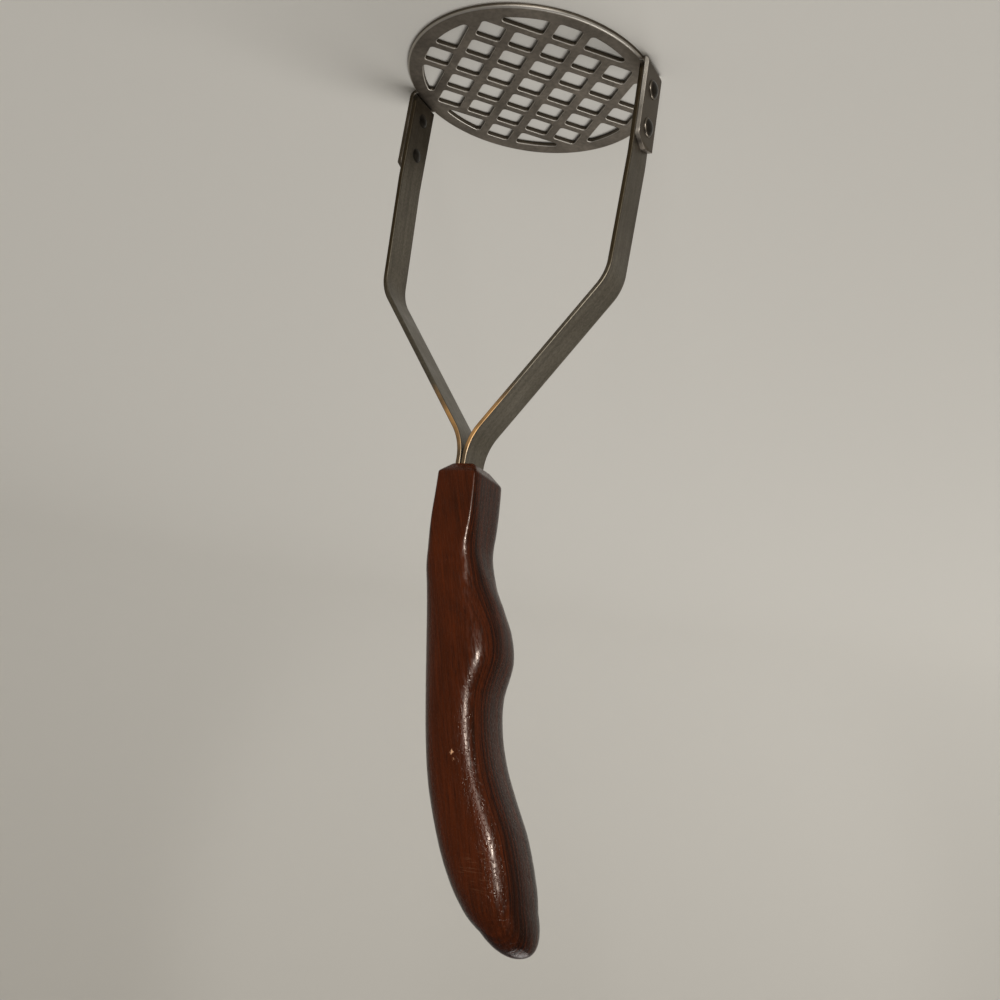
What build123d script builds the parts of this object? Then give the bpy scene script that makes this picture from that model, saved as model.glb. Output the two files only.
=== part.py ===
from build123d import *
import os
from math import ceil, copysign, cos, hypot, pi, sin, sqrt

# Potato masher: a perforated plate on two bent strap legs, with a curved hardwood handle.
# Millimetres. The origin is the centre of the plate's underside, +Z runs up to the handle,
# the two ears stand on the X axis, and the finger side of the handle faces +X.

# Mashing plate
PLATE_DIAMETER = 82.6
PLATE_THICKNESS = 1.5
PLATE_RIM_ROUND = 1.0

# Holes, in a square grid turned to the ears
HOLE_SIDE = 7.7
HOLE_CORNER_RADIUS = 1.05
BAR_WIDTH = 2.97
RIM_BAND_WIDTH = 5.3
GRID_TURN_DEGREES = 45

# Ears, folded up just outside the rim of the plate
EAR_STANDOFF = 0.4
EAR_BEND_RADIUS = 1.0
EAR_SIDE_HEIGHT = 27.4
EAR_POINT_RISE = 2.1

# Strap of the legs, as wide as the ears
STRAP_WIDTH = 12.0
STRAP_THICKNESS = 1.6
STRAP_EDGE_ROUND = 0.4

# Course of each leg, along the middle of the strap: in at the shoulders, and together at a neck
# below the front of the handle
LEG_FOOT_CLEARANCE = 0.1
LEG_LEAN_HEIGHT = 33.0
LEG_LEAN_RADIUS = 60.0
SHOULDER_HEIGHT = 73.5
SHOULDER_INSET = 1.7
SHOULDER_BEND_RADIUS = 15.0
NECK_DROP = 7.7
NECK_BEND_RADIUS = 18.0
TANG_GAP = 0.25
TANG_LENGTH = 39.0

# Rivets, two through each ear and leg
RIVET_LOWER_HEIGHT = 8.8
RIVET_SPACING = 13.2
RIVET_HEAD_DIAMETER = 6.0
RIVET_HEAD_HEIGHT = 1.5
RIVET_SHANK_DIAMETER = 4.0
RIVET_TAIL_DIAMETER = 4.8
RIVET_TAIL_HEIGHT = 0.7
RIVET_HOLE_CLEARANCE = 0.05

# Handle, along a curved middle line from its front end to its tip
HANDLE_FRONT_HEIGHT = 133.2
HANDLE_FRONT_OFFSET = 1.0
HANDLE_RISE = 133.5
HANDLE_REACH = 40.4
HANDLE_FRONT_PULL = 46.1
HANDLE_TIP_PULL = 51.3
HANDLE_TIP_LEAN_DEGREES = 34.8
GRIP_DEPTH = 24.1
GRIP_BREADTH = 23.0
THUMB_FLAT_BREADTH = 18.0
THUMB_FLAT_LENGTH = 30.4
FRONT_BEVEL = 3.0
TANG_SLOT_CLEARANCE = 0.1
TANG_SLOT_END_CLEARANCE = 0.5

# One overrun for all cuts
CUT_OVERRUN = 5.0

# Sections of the handle: place along the middle line, depth on the palm side and on the
# finger side as shares of GRIP_DEPTH, half breadth as a share of GRIP_BREADTH, and the
# powers that say how square the finger side and the palm side are
GRIP_SECTION_SHARES = (
    (0.000, 0.285, 0.275, 0.426, 7.0, 7.0),
    (0.060, 0.290, 0.300, 0.424, 6.8, 6.5),
    (0.120, 0.319, 0.314, 0.420, 5.5, 5.5),
    (0.180, 0.354, 0.314, 0.400, 4.2, 4.0),
    (0.215, 0.376, 0.352, 0.391, 3.7, 3.5),
    (0.260, 0.367, 0.428, 0.404, 3.2, 3.0),
    (0.310, 0.366, 0.532, 0.426, 3.0, 2.7),
    (0.370, 0.376, 0.622, 0.461, 3.0, 2.5),
    (0.430, 0.391, 0.610, 0.478, 3.0, 2.5),
    (0.500, 0.417, 0.431, 0.487, 3.0, 2.5),
    (0.570, 0.463, 0.357, 0.491, 3.0, 2.5),
    (0.640, 0.510, 0.342, 0.496, 3.0, 2.5),
    (0.710, 0.532, 0.366, 0.500, 3.0, 2.5),
    (0.780, 0.541, 0.390, 0.500, 3.0, 2.5),
    (0.840, 0.520, 0.363, 0.496, 2.8, 2.4),
    (0.890, 0.464, 0.310, 0.487, 2.6, 2.3),
    (0.930, 0.396, 0.263, 0.478, 2.4, 2.3),
)
TIP_START_SHARE = 0.88
TIP_PLACE_SHARES = (0.955, 0.975, 0.989, 0.997)
GRIP_SECTIONS = 31
SECTION_POINTS = 32

# Worked out from the sizes above
plate_radius = PLATE_DIAMETER / 2
perforated_radius = plate_radius - RIM_BAND_WIDTH
hole_pitch = HOLE_SIDE + BAR_WIDTH
ear_inside_x = plate_radius + EAR_STANDOFF
ear_outside_x = ear_inside_x + PLATE_THICKNESS
ear_bend_start_x = ear_inside_x - EAR_BEND_RADIUS
ear_top = EAR_SIDE_HEIGHT + EAR_POINT_RISE
leg_x = ear_inside_x - STRAP_THICKNESS / 2
leg_foot_height = PLATE_THICKNESS + EAR_BEND_RADIUS + LEG_FOOT_CLEARANCE
tang_x = (TANG_GAP + STRAP_THICKNESS) / 2
rivet_heights = {"lower": RIVET_LOWER_HEIGHT, "upper": RIVET_LOWER_HEIGHT + RIVET_SPACING}


def rim_hole(x, y):
    """Hole beside the rim: its two inner grid sides, closed by the perforated circle."""
    corner = Pos(x - copysign(HOLE_SIDE / 2, x), y - copysign(HOLE_SIDE / 2, y))
    align = (Align.MIN if x > 0 else Align.MAX, Align.MIN if y > 0 else Align.MAX)
    sharp = corner * Rectangle(perforated_radius, perforated_radius, align=align)
    sharp &= Circle(perforated_radius)
    return offset(offset(sharp, -HOLE_CORNER_RADIUS), HOLE_CORNER_RADIUS)


def plate_holes():
    """Grid of rounded square holes whose centres lie inside the perforated circle."""
    square = RectangleRounded(HOLE_SIDE, HOLE_SIDE, HOLE_CORNER_RADIUS)
    corner_centre = HOLE_SIDE / 2 - HOLE_CORNER_RADIUS
    count = ceil(perforated_radius / hole_pitch)
    places = [index * hole_pitch for index in range(-count, count + 1)]
    holes = []
    for x in places:
        for y in places:
            if hypot(x, y) >= perforated_radius:
                continue
            reach = hypot(abs(x) + corner_centre, abs(y) + corner_centre) + HOLE_CORNER_RADIUS
            holes.append(Pos(x, y) * square if reach <= perforated_radius else rim_hole(x, y))
    return Rot(0, 0, GRID_TURN_DEGREES) * Sketch(holes)


def strap(path, outline):
    """Flat bar with the given outline, its width along Y, carried along a path in the XZ plane."""
    return sweep(Plane(origin=path @ 0, x_dir=(0, 1, 0), z_dir=path % 0) * outline, path)


def right_rivet_holes():
    """Holes for both rivets of the right side, through the ear and the leg."""
    radius = RIVET_SHANK_DIAMETER / 2 + RIVET_HOLE_CLEARANCE
    length = 2 * (PLATE_THICKNESS + STRAP_THICKNESS + CUT_OVERRUN)
    hole = Rot(0, 90, 0) * Cylinder(radius, length)
    return [Pos(ear_inside_x, 0, height) * hole for height in rivet_heights.values()]


def right_ear():
    """Ear folded up from the plate, with a pointed end."""
    middle_z = PLATE_THICKNESS / 2
    middle_x = ear_inside_x + PLATE_THICKNESS / 2
    path = Plane.XZ * FilletPolyline(
        (perforated_radius, middle_z),
        (middle_x, middle_z),
        (middle_x, ear_top),
        radius=EAR_BEND_RADIUS + PLATE_THICKNESS / 2,
    )
    half = STRAP_WIDTH / 2
    outline = Plane.YZ * make_face(
        Polyline(
            (-half, 0),
            (half, 0),
            (half, EAR_SIDE_HEIGHT),
            (0, ear_top),
            (-half, EAR_SIDE_HEIGHT),
            close=True,
        )
    )
    pointed = extrude(outline, ear_outside_x + CUT_OVERRUN)
    return (strap(path, Rectangle(STRAP_WIDTH, PLATE_THICKNESS)) & pointed) - right_rivet_holes()


def mashing_plate():
    """Disc with a rounded upper rim, pierced by the grid, with the two ears folded up."""
    disc = extrude(Circle(plate_radius), PLATE_THICKNESS)
    disc = fillet(disc.edges().group_by(Axis.Z)[-1], PLATE_RIM_ROUND)
    fold = Pos(ear_bend_start_x, 0, 0) * Box(
        EAR_BEND_RADIUS + CUT_OVERRUN,
        STRAP_WIDTH,
        PLATE_THICKNESS + CUT_OVERRUN,
        align=(Align.MIN, Align.CENTER, Align.CENTER),
    )
    ear = right_ear()
    disc -= [fold, fold.mirror(Plane.YZ)]
    disc += [ear, ear.mirror(Plane.YZ)]
    return disc - extrude(plate_holes(), PLATE_THICKNESS + CUT_OVERRUN, both=True)


def right_leg():
    """Strap from the ear to the shoulder, in to the neck and up into the handle."""
    path = Plane.XZ * FilletPolyline(
        (leg_x, leg_foot_height),
        (leg_x, LEG_LEAN_HEIGHT),
        (leg_x - SHOULDER_INSET, SHOULDER_HEIGHT),
        (tang_x, HANDLE_FRONT_HEIGHT - NECK_DROP),
        (tang_x, HANDLE_FRONT_HEIGHT + TANG_LENGTH),
        radius=[LEG_LEAN_RADIUS, SHOULDER_BEND_RADIUS, NECK_BEND_RADIUS],
    )
    outline = RectangleRounded(STRAP_WIDTH, STRAP_THICKNESS, STRAP_EDGE_ROUND)
    return strap(path, outline) - right_rivet_holes()


def right_rivet(height):
    """Domed head on the ear, shank through ear and leg, and a flat dome inside the leg."""
    grip = PLATE_THICKNESS + STRAP_THICKNESS
    head_radius = RIVET_HEAD_DIAMETER / 2
    shank_radius = RIVET_SHANK_DIAMETER / 2
    tail_radius = RIVET_TAIL_DIAMETER / 2
    top = (0, RIVET_HEAD_HEIGHT)
    end = (0, -grip - RIVET_TAIL_HEIGHT)
    profile = make_face(
        [
            TangentArc(top, (head_radius, 0), tangent=(1, 0)),
            Polyline((head_radius, 0), (shank_radius, 0), (shank_radius, -grip), (tail_radius, -grip)),
            TangentArc(end, (tail_radius, -grip), tangent=(1, 0)),
            Line(end, top),
        ]
    )
    rivet = revolve(Plane.XZ * profile, Axis.Z)
    return Plane(origin=(ear_outside_x, 0, height), z_dir=(1, 0, 0)) * rivet


def grip_middle_line():
    """Middle line of the handle: straight up at the front end, leaning over at the tip."""
    front = Vector(HANDLE_FRONT_OFFSET, 0, HANDLE_FRONT_HEIGHT)
    tip = front + Vector(HANDLE_REACH, 0, HANDLE_RISE)
    lean = Vector(0, 0, HANDLE_TIP_PULL).rotate(Axis.Y, HANDLE_TIP_LEAN_DEGREES)
    return Bezier(front, front + Vector(0, 0, HANDLE_FRONT_PULL), tip - lean, tip)


def grip_row(place):
    """Row of the handle's table at any place, on a smooth curve through the rows beside it."""
    rows = GRIP_SECTION_SHARES
    after = next((i for i, row in enumerate(rows) if row[0] > place), len(rows) - 1)
    values = []
    for column in range(1, len(rows[0])):
        slopes = []
        for i in (after - 1, after):
            low, high = rows[max(i - 1, 0)], rows[min(i + 1, len(rows) - 1)]
            slopes.append((high[column] - low[column]) / (high[0] - low[0]))
        start, end = rows[after - 1], rows[after]
        run = end[0] - start[0]
        t = min((place - start[0]) / run, 1)
        value = start[column] * (1 + 2 * t) * (1 - t) ** 2 + end[column] * (3 - 2 * t) * t**2
        values.append(value + run * t * (1 - t) * (slopes[0] * (1 - t) - slopes[1] * t))
    return values


def grip_section(line, place):
    """Section square to the middle line: half an oval to the finger side, half to the palm."""
    palm_share, finger_share, breadth_share, finger_power, palm_power = grip_row(place)
    tip_run = max(0, (place - TIP_START_SHARE) / (1 - TIP_START_SHARE))
    fullness = sqrt(1 - tip_run**2)
    palm = palm_share * GRIP_DEPTH * fullness
    finger = finger_share * GRIP_DEPTH * fullness
    half_breadth = breadth_share * GRIP_BREADTH * fullness
    points = []
    for step in range(SECTION_POINTS):
        across = cos(2 * pi * step / SECTION_POINTS)
        sideways = sin(2 * pi * step / SECTION_POINTS)
        power = finger_power if across > 0 else palm_power
        reach = (abs(across) ** power + abs(sideways) ** power) ** (-1 / power)
        depth = (finger - palm) / 2 + (finger + palm) / 2 * reach * across
        points.append((depth, half_breadth * reach * sideways))
    outline = Edge.make_spline(points, periodic=True, parameters=list(range(SECTION_POINTS + 1)))
    plane = Plane(origin=line @ place, x_dir=(line % place).rotate(Axis.Y, 90), z_dir=line % place)
    return plane * Face(Wire([outline]))


def handle():
    """Sculpted grip with thumb flats, a bevelled front end and a blind slot for the tangs."""
    line = grip_middle_line()
    even_share = GRIP_SECTION_SHARES[-1][0] / GRIP_SECTIONS
    places = [step * even_share for step in range(GRIP_SECTIONS + 1)] + list(TIP_PLACE_SHARES)
    body = loft([grip_section(line, place) for place in places] + [Vertex(line @ 1)])

    half_flat = THUMB_FLAT_BREADTH / 2
    beside = Pos(0, half_flat, HANDLE_FRONT_HEIGHT - CUT_OVERRUN) * Box(
        2 * GRIP_DEPTH,
        GRIP_BREADTH,
        THUMB_FLAT_LENGTH + CUT_OVERRUN,
        align=(Align.CENTER, Align.MIN, Align.MIN),
    )
    body -= [beside, beside.mirror(Plane.XZ)]

    front_row = GRIP_SECTION_SHARES[0]
    palm_x = HANDLE_FRONT_OFFSET - front_row[1] * GRIP_DEPTH + FRONT_BEVEL
    finger_x = HANDLE_FRONT_OFFSET + front_row[2] * GRIP_DEPTH - FRONT_BEVEL
    front = Pos((palm_x + finger_x) / 2, 0, HANDLE_FRONT_HEIGHT) * Rectangle(
        finger_x - palm_x, THUMB_FLAT_BREADTH - 2 * FRONT_BEVEL
    )
    body &= extrude(front, HANDLE_RISE + CUT_OVERRUN, taper=-45)

    slot = Pos(0, 0, HANDLE_FRONT_HEIGHT - CUT_OVERRUN) * Box(
        2 * (STRAP_THICKNESS + TANG_SLOT_CLEARANCE) + TANG_GAP,
        STRAP_WIDTH + 2 * TANG_SLOT_CLEARANCE,
        TANG_LENGTH + TANG_SLOT_END_CLEARANCE + CUT_OVERRUN,
        align=(Align.CENTER, Align.CENTER, Align.MIN),
    )
    return body - slot


nodes = {"mashing_plate": mashing_plate(), "handle": handle(), "right_leg": right_leg()}
for level, height in rivet_heights.items():
    nodes[f"rivet_right_{level}"] = right_rivet(height)
for name in [name for name in nodes if "right" in name]:
    nodes[name.replace("right", "left")] = nodes[name].mirror(Plane.YZ)

os.makedirs("parts", exist_ok=True)
for name, part in nodes.items():
    export_step(part, f"parts/{name}.step")
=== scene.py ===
from functools import partial, reduce

import bmesh
import bpy
import numpy as np
from bpy.props import FloatProperty, FloatVectorProperty, PointerProperty
from mathutils import Matrix, Vector


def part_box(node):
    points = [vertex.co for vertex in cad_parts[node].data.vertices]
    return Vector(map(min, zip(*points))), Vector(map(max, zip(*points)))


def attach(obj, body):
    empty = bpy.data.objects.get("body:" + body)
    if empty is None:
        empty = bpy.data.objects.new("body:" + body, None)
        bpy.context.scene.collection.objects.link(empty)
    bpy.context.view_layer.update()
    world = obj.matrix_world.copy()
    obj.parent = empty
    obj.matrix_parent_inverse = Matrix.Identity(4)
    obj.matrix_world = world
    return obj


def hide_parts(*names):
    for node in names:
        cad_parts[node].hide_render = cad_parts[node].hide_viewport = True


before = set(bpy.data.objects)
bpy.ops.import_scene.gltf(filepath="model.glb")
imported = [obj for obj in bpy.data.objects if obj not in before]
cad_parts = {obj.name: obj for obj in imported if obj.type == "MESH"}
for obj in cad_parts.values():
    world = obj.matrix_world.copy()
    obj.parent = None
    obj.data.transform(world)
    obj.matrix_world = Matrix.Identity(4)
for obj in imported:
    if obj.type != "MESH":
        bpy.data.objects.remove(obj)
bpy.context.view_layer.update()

bl_info = {
    "name": "Potato Masher",
    "version": (1, 0, 0),
    "blender": (4, 5, 0),
    "location": "3D View > Sidebar > Masher",
    "description": "Builds a potato masher with a perforated plate, strap legs and a hardwood grip",
    "category": "Add Mesh",
}

# Metres. The plate's underside is centred on the origin, the ears stand on the X axis, the handle
# rises along +Z and its finger side faces +X.
MM = 0.001
handle_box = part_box("handle")
leg_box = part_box("right_leg")

# Sections of the grip: place along its middle line, depth on the palm side and on the finger side
# as shares of the grip's depth, half breadth as a share of its breadth, and the powers that say
# how square the finger side and the palm side are.
GRIP_SECTIONS = np.array([
    (0.000, 0.285, 0.275, 0.426, 7.0, 7.0),
    (0.060, 0.290, 0.300, 0.424, 6.8, 6.5),
    (0.120, 0.319, 0.314, 0.420, 5.5, 5.5),
    (0.180, 0.354, 0.314, 0.400, 4.2, 4.0),
    (0.215, 0.376, 0.352, 0.391, 3.7, 3.5),
    (0.260, 0.367, 0.436, 0.404, 2.6, 3.0),
    (0.310, 0.366, 0.544, 0.426, 2.4, 2.7),
    (0.370, 0.376, 0.626, 0.461, 2.7, 2.5),
    (0.430, 0.391, 0.610, 0.478, 2.9, 2.5),
    (0.500, 0.417, 0.431, 0.487, 3.0, 2.5),
    (0.570, 0.463, 0.357, 0.491, 3.0, 2.5),
    (0.640, 0.510, 0.342, 0.496, 3.0, 2.5),
    (0.710, 0.532, 0.366, 0.500, 3.0, 2.5),
    (0.780, 0.541, 0.390, 0.500, 3.0, 2.5),
    (0.840, 0.520, 0.363, 0.496, 2.8, 2.4),
    (0.890, 0.464, 0.310, 0.487, 2.6, 2.3),
    (0.930, 0.396, 0.263, 0.478, 2.4, 2.3),
])
# Along the middle line: where the fine rings of the front end stop, where the rounding of the tip
# starts, and where the columns start and stop to let go of the ridges beside the thumb flats.
FRONT_END, TIP_START = 0.05, 0.88
RIDGE_FADE_START, RIDGE_FADE_LENGTH = 0.215, 0.12
# Round each half of the grip, from the finger side to the palm side: the column that follows a
# ridge, as a share of the half turn, and the columns close beside it.
RIDGE_SHARE = 0.31
BESIDE_RIDGE = np.array([-0.09, -0.055, -0.03, -0.015, 0, 0.015, 0.03, 0.055, 0.09])


def length(name, description, millimetres):
    """Length property, given in millimetres and kept in metres."""
    return FloatProperty(
        name=name, description=description, default=millimetres * MM, min=0.0, precision=5, unit="LENGTH"
    )


def colour(name, description, code):
    """Colour property with an sRGB hex default."""
    return FloatVectorProperty(
        name=name, description=description, default=linear(code), size=3, min=0.0, max=1.0, subtype="COLOR"
    )


def linear(code):
    """Linear red, green and blue of an sRGB hex colour."""
    values = np.array([int(code[i : i + 2], 16) for i in (1, 3, 5)]) / 255
    return tuple(np.where(values <= 0.04045, values / 12.92, ((values + 0.055) / 1.055) ** 2.4))


class MasherPlateSizes(bpy.types.PropertyGroup):
    """Sizes of the pressed plate and its ears"""

    radius: length("Radius", "Radius of the round plate", 41.3)
    thickness: length("Thickness", "Thickness of the sheet", 1.5)
    rim_round: length("Rim round", "Rounding of the plate's upper rim", 1.0)
    hole_side: length("Hole side", "Side of each square hole", 7.7)
    hole_corner: length("Hole corner", "Corner radius of each hole", 1.05)
    bar_width: length("Bar width", "Width of the bars between the holes", 2.97)
    pierced_radius: length("Pierced radius", "Radius of the circle that holds the holes", 36.0)
    roll: length("Rolled edge", "Rounding that the punch leaves on the upper edge of a hole", 0.35)
    burr: length("Lower edge", "Rounding of the lower edge of the rim and the holes", 0.1)
    ear_x: length("Ear place", "Distance of the ear's middle from the centre", 42.45)
    ear_bend: length("Ear bend", "Radius of the ear's fold at the middle of the sheet", 1.75)
    ear_foot: length("Ear foot", "How far the ear's foot reaches into the plate", 2.6)
    ear_round: length("Ear round", "Rounding of the ear's edges", 0.22)
    ear_side: length("Ear side height", "Height of the ear's straight sides", 27.4)
    ear_top: length("Ear top", "Height of the ear's point", 29.5)


class MasherStrapSizes(bpy.types.PropertyGroup):
    """Sizes of the two strap legs"""

    width: length("Width", "Width of the strap", 12.0)
    thickness: length("Thickness", "Thickness of the strap", 1.6)
    edge_round: length("Edge round", "Rounding of the strap's edges", 0.4)
    foot_x: length("Foot place", "Distance of the leg's middle from the centre at its foot", 40.9)
    lean_height: length("Lean height", "Height where the leg starts to lean in", 33.0)
    lean_radius: length("Lean radius", "Radius of the bend there", 60.0)
    shoulder_x: length("Shoulder place", "Distance of the leg's middle from the centre at the shoulder", 39.2)
    shoulder_height: length("Shoulder height", "Height of the shoulder", 73.5)
    shoulder_radius: length("Shoulder radius", "Radius of the bend at the shoulder", 15.0)
    neck_height: length("Neck height", "Height where the two legs come together", 125.5)
    neck_radius: length("Neck radius", "Radius of the bend at the neck", 18.0)
    tang_x: length("Tang place", "Distance of the tang's middle from the centre", 0.925)


class MasherRivetSizes(bpy.types.PropertyGroup):
    """Sizes and places of the four rivets"""

    lower_height: length("Lower height", "Height of the lower rivets", 8.8)
    spacing: length("Spacing", "Distance from the lower to the upper rivets", 13.2)
    head_radius: length("Head radius", "Radius of the domed head outside the ear", 3.0)
    head_height: length("Head height", "Height of the domed head", 1.5)
    rim: length("Rim", "Height of the straight rim under the dome", 0.22)
    rim_round: length("Rim round", "Rounding of the rim where it meets the steel", 0.1)
    shank_radius: length("Shank radius", "Radius of the shank", 2.0)
    tail_radius: length("Tail radius", "Radius of the closed end inside the leg", 2.4)
    tail_height: length("Tail height", "Height of the closed end", 0.7)


class MasherGripSizes(bpy.types.PropertyGroup):
    """Sizes of the wooden grip"""

    front_offset: length("Front offset", "Offset of the front end to the finger side", 1.0)
    rise: length("Rise", "Height of the middle line from the front end to the tip", 133.5)
    reach: length("Reach", "Reach of the tip to the finger side", 40.4)
    front_pull: length("Front pull", "How far the middle line runs straight up from the front end", 46.1)
    tip_pull: length("Tip pull", "How far the middle line runs straight to the tip", 51.3)
    tip_lean: FloatProperty(
        name="Tip lean", description="Lean of the middle line at the tip", default=np.radians(34.8),
        subtype="ANGLE",
    )
    depth: length("Depth", "Depth that the section shares refer to", 24.1)
    breadth: length("Breadth", "Greatest breadth, across the fingers", 23.0)
    flat_breadth: length("Thumb flat breadth", "Distance between the two thumb flats", 18.0)
    flat_length: length("Thumb flat length", "Length of the thumb flats", 30.4)
    bevel: length("Front bevel", "Bevel round the front end", 3.0)
    ridge_round: length("Ridge round", "How softly the ridges beside the flats are rounded", 0.16)
    slot_depth: length("Slot depth", "Depth of the slot for the tangs", 39.5)


class MasherFinishes(bpy.types.PropertyGroup):
    """Colours and patterns of steel and wood"""

    plate_steel: colour("Plate steel", "Reflection of the dull pressed sheet", "#6F675D")
    strap_steel: colour("Strap steel", "Reflection of the brushed strap", "#6C665B")
    # Colour of a painted highlight on the rounded edges of the plate's rim, its holes and the right ear.
    painted_highlight_colour: colour("Worn steel", "Edges of the steel that use keeps bright", "#D8D2C8")
    # Colour of a painted warm reflection, a gold glint on the strap's edges below the grip.
    painted_warm_reflection: colour("Warm steel", "Straw tint of the strap's edges near the grip", "#C99A62")
    # Colour of dried stains, also used for painted shade and painted dark reflection on the steel.
    stain_and_shade: colour("Stain", "Dried brown stain in the corners of the steel", "#3A3020")
    wood_light: colour("Light wood", "Lighter plies of the dyed hardwood", "#421906")
    wood_dark: colour("Dark wood", "Darker plies of the dyed hardwood", "#1B0903")
    glue: colour("Glue line", "Resin lines between the plies", "#120604")
    bare_wood: colour("Bare wood", "Small nicks where the polish is lost", "#B98E6C")
    brush_spacing: length("Brush spacing", "Spacing of the brush lines, drawn coarser to show", 0.16)
    ply: length("Ply", "Thickness of one ply", 0.85)


class MasherStageSettings(bpy.types.PropertyGroup):
    """Floor and lamps"""

    floor: colour("Floor", "Matt floor and backdrop", "#CAC6BE")
    flat_radius: length("Flat radius", "Radius of the flat part of the floor", 1100.0)
    sweep: length("Sweep", "Radius of the curve from floor to backdrop", 700.0)
    wall: length("Wall", "Height of the backdrop above the curve", 500.0)
    gap: length("Gap", "How far the floor lies under the plate", 0.02)
    sky: FloatProperty(name="Sky", description="Strength of the even light from above", default=0.2, min=0)
    key: FloatProperty(name="Key", description="Power of the key lamp", default=24, min=0, unit="POWER")
    fill: FloatProperty(name="Fill", description="Power of the lamp above", default=33, min=0, unit="POWER")


class Skin:
    """Points, faces and corner UVs of one piece, gathered before they go into its mesh."""

    def __init__(self):
        self.points, self.faces, self.smooth, self.uv = np.empty((0, 3)), [], [], []

    def add_points(self, points):
        """Adds points in any array shape and gives their numbers in the same shape."""
        numbers = len(self.points) + np.arange(points[..., 0].size).reshape(points.shape[:-1])
        self.points = np.concatenate([self.points, points.reshape(-1, 3)])
        return numbers

    def add_faces(self, faces, corners, smooth=True):
        """Adds faces that all have as many corners, with the UVs of their corners."""
        self.faces += faces.tolist()
        self.smooth += [smooth] * len(faces)
        self.uv.append(corners.reshape(-1, 2))

    def add_grid(self, points, along, around, start=None, smooth=True):
        """Adds a grid of rows whose columns close round, and gives the numbers of its points.

        Each quad joins a point, its neighbour round, and the two after them along. The UVs are the
        rows' distances along and the columns' distances around, one more for the closing edge. A
        ring that the skin already has can be the first row."""
        numbers = self.add_points(points)
        if start is not None:
            numbers = np.concatenate([start[None], numbers])
        beside = np.roll(numbers, -1, axis=1)
        quads = np.stack([numbers[:-1], beside[:-1], beside[1:], numbers[1:]], axis=-1)
        uv = np.stack(np.meshgrid(along, around, indexing="ij"), axis=-1)
        corners = np.stack([uv[:-1, :-1], uv[:-1, 1:], uv[1:, 1:], uv[1:, :-1]], axis=2)
        self.add_faces(quads.reshape(-1, 4), corners, smooth)
        return numbers

    def add_cap(self, ring):
        """Closes a ring of points with one flat face."""
        self.add_faces(ring[None], np.zeros((len(ring), 2)), smooth=False)

    def add_pole(self, ring, pole, along, around):
        """Closes a ring of points with triangles that meet in a pole."""
        top = self.add_points(np.array(pole, float))
        triangles = np.stack([ring, np.roll(ring, -1), np.full_like(ring, top)], axis=-1)
        edge = np.full(len(ring), along)
        middle = (around[:-1] + around[1:]) / 2
        corners = [np.stack([edge, v], axis=-1) for v in (around[:-1], around[1:], middle)]
        self.add_faces(triangles, np.stack(corners, axis=1))

    def add_skin(self, other):
        """Adds all the points and faces of another skin."""
        first = len(self.points)
        self.add_points(other.points)
        self.faces += [[first + number for number in face] for face in other.faces]
        self.smooth += other.smooth
        self.uv += other.uv

    def mirrored(self):
        """The same skin on the other side of the YZ plane."""
        other = Skin()
        other.points = self.points * (-1, 1, 1)
        other.faces, other.smooth, other.uv = self.faces, self.smooth, self.uv
        return other


def replace_object(name, data):
    """Object of that name with new data, in the scene's own collection, in place of the last one."""
    old = bpy.data.objects.get(name)
    if old:
        bpy.data.objects.remove(old)
    new = bpy.data.objects.new(name, data)
    bpy.context.scene.collection.objects.link(new)
    return new


def put_skin(name, skin, material, pierced=False):
    """Puts a skin into an object's mesh, with its faces outwards.

    A pierced skin has walls only: its upper and lower faces are filled between the open loops."""
    mesh = bpy.data.meshes.new(name)
    mesh.from_pydata(skin.points.tolist(), [], skin.faces)
    mesh.polygons.foreach_set("use_smooth", skin.smooth)
    mesh.uv_layers.new(name="UVMap").data.foreach_set("uv", np.concatenate(skin.uv).ravel())
    work = bmesh.new()
    work.from_mesh(mesh)
    if pierced:
        rims = [edge for edge in work.edges if edge.is_boundary]
        middle = sum(edge.verts[0].co.z for edge in rims) / len(rims)
        for upper in (True, False):
            rim = [edge for edge in rims if (edge.verts[0].co.z > middle) == upper]
            filled = bmesh.ops.triangle_fill(work, edges=rim, use_beauty=True)
            for item in filled["geom"]:
                if isinstance(item, bmesh.types.BMFace):
                    item.smooth = False
    bmesh.ops.recalc_face_normals(work, faces=work.faces)
    work.to_mesh(mesh)
    work.free()
    mesh.materials.append(material)
    return replace_object(name, mesh)


def make_piece(name, skin, material, node, pierced=False):
    """Makes a closed piece that stands for a CAD node."""
    piece = put_skin(name, skin, material, pierced)
    sides = np.zeros(len(piece.data.edges), int)
    corners = np.empty(len(piece.data.loops), int)
    piece.data.loops.foreach_get("edge_index", corners)
    np.add.at(sides, corners, 1)
    if (sides != 2).any():
        raise RuntimeError(f"{name}: its skin is not closed")
    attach(piece, "root")
    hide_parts(node)
    return piece


def distances(points, closed=False):
    """Distance of each point from the first one, along the line, and once round a closed one."""
    steps = np.diff(points, axis=0, append=points[:1])
    total = np.cumsum(np.linalg.norm(steps, axis=1))
    return np.concatenate([[0], total if closed else total[:-1]])


def read_line(at, along, values):
    """Values kept at distances along a line, read at other distances between them."""
    return np.stack([np.interp(at, along, column) for column in values.T], axis=-1)


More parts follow.
